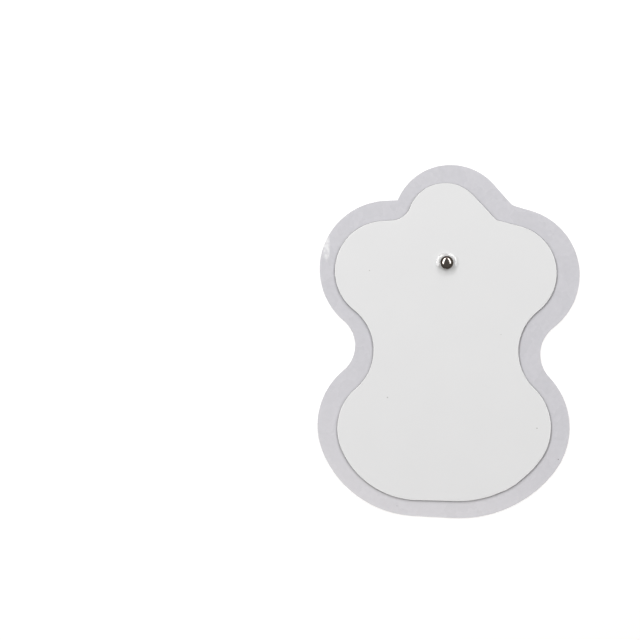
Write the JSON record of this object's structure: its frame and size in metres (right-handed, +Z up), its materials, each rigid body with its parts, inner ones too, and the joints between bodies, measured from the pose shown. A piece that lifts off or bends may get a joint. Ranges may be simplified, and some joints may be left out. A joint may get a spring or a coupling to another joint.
{
  "type": "tens electrode pad",
  "caption": "Self-adhesive snap electrode pad with a head lobe, shoulders, waist and wide base, stuck to a clear release liner of the same outline.",
  "frame": {"origin": "middle of the bounding box on the release liner's underside", "axes": "+Y along the pad towards its head, +X to the right of the head, +Z up out of the snap stud"},
  "size_m": [0.0768, 0.1042, 0.0038],
  "materials": {
    "release_plastic": "clear embossed film with a faint lavender grey cast",
    "hydrogel": "clear, wet and tacky gel",
    "carbon_film": "black carbon-filled film",
    "white_film": "smooth white film with a soft gloss",
    "nickel": "polished nickel plate on brass",
    "dot_tape": "plain white tape"
  },
  "bodies": {
    "root": {"release_liner": "release_plastic", "hydrogel": "hydrogel", "insulating_dot": "dot_tape", "snap_eyelet": "nickel", "conductive_film": "carbon_film", "snap_stud": "nickel", "backing_film": "white_film"}
  },
  "joints": []
}
